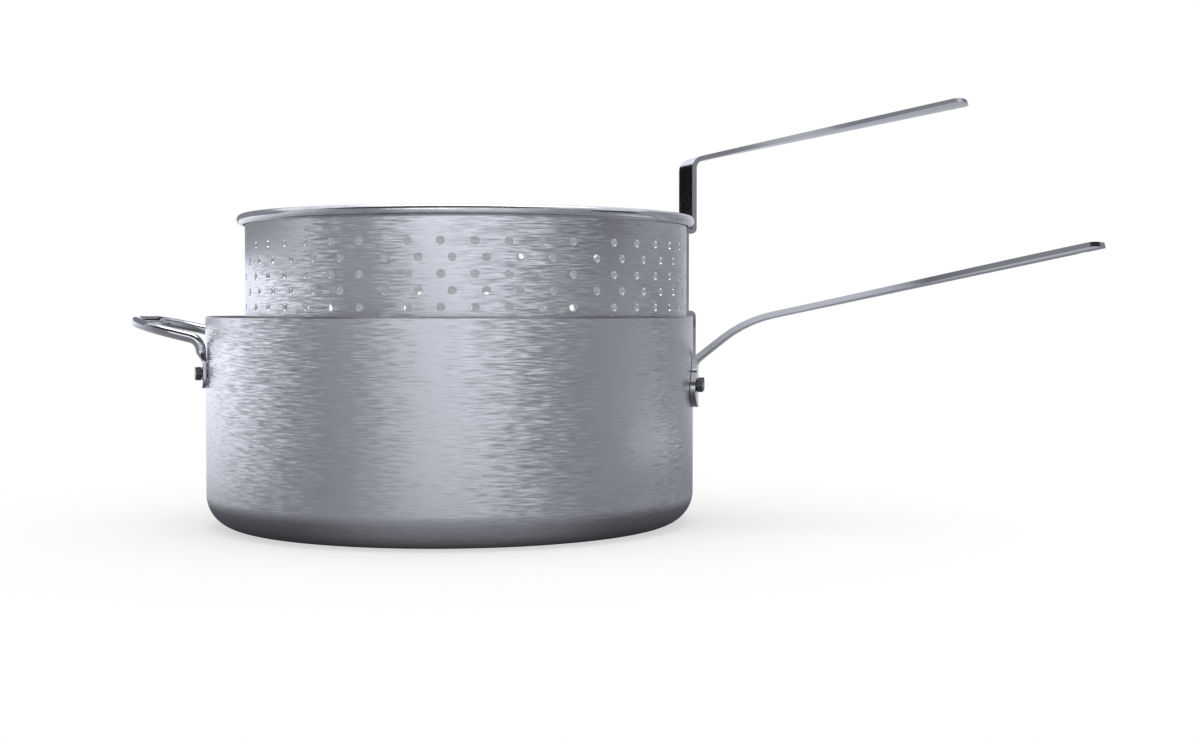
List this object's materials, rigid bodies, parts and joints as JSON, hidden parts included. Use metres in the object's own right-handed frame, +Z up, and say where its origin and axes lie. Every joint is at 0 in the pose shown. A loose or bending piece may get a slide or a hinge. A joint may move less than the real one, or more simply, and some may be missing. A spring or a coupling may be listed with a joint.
{
  "type": "deep frying pan with basket",
  "caption": "Straight-sided aluminium deep-frying pan with a strip handle, a rod helper handle and a perforated lift-out basket that hooks on its rim to drain.",
  "frame": {"origin": "middle of the pot's flat underside, on the pot's axis", "axes": "+Z up along the pot's axis, +X towards the end of the pot's long handle"},
  "size_m": [0.6031, 0.305, 0.2759],
  "materials": {
    "pot_aluminium": "brushed",
    "basket_aluminium": "brushed",
    "handle_steel": "plated, satin",
    "rod_steel": "plated, bright",
    "screw_steel": "plated",
    "nut_steel": "dark oxide"
  },
  "bodies": {
    "pot": {"pot_body": "pot_aluminium", "pot_handle": "handle_steel", "helper_handle": "rod_steel", "pot_handle_front_screw": "screw_steel", "pot_handle_front_nut": "nut_steel", "pot_handle_rear_screw": "screw_steel", "pot_handle_rear_nut": "nut_steel", "helper_front_screw": "screw_steel", "helper_front_nut": "nut_steel", "helper_rear_screw": "screw_steel", "helper_rear_nut": "nut_steel"},
    "basket": {"basket_shell": "basket_aluminium", "basket_handle": "handle_steel", "basket_rivet_upper": "screw_steel", "basket_rivet_lower": "screw_steel"}
  },
  "joints": [
    {"name": "basket_lift", "type": "slide", "parent": "pot", "child": "basket", "axis": [0, 0, 1], "range_m": [0, 0.12]}
  ]
}
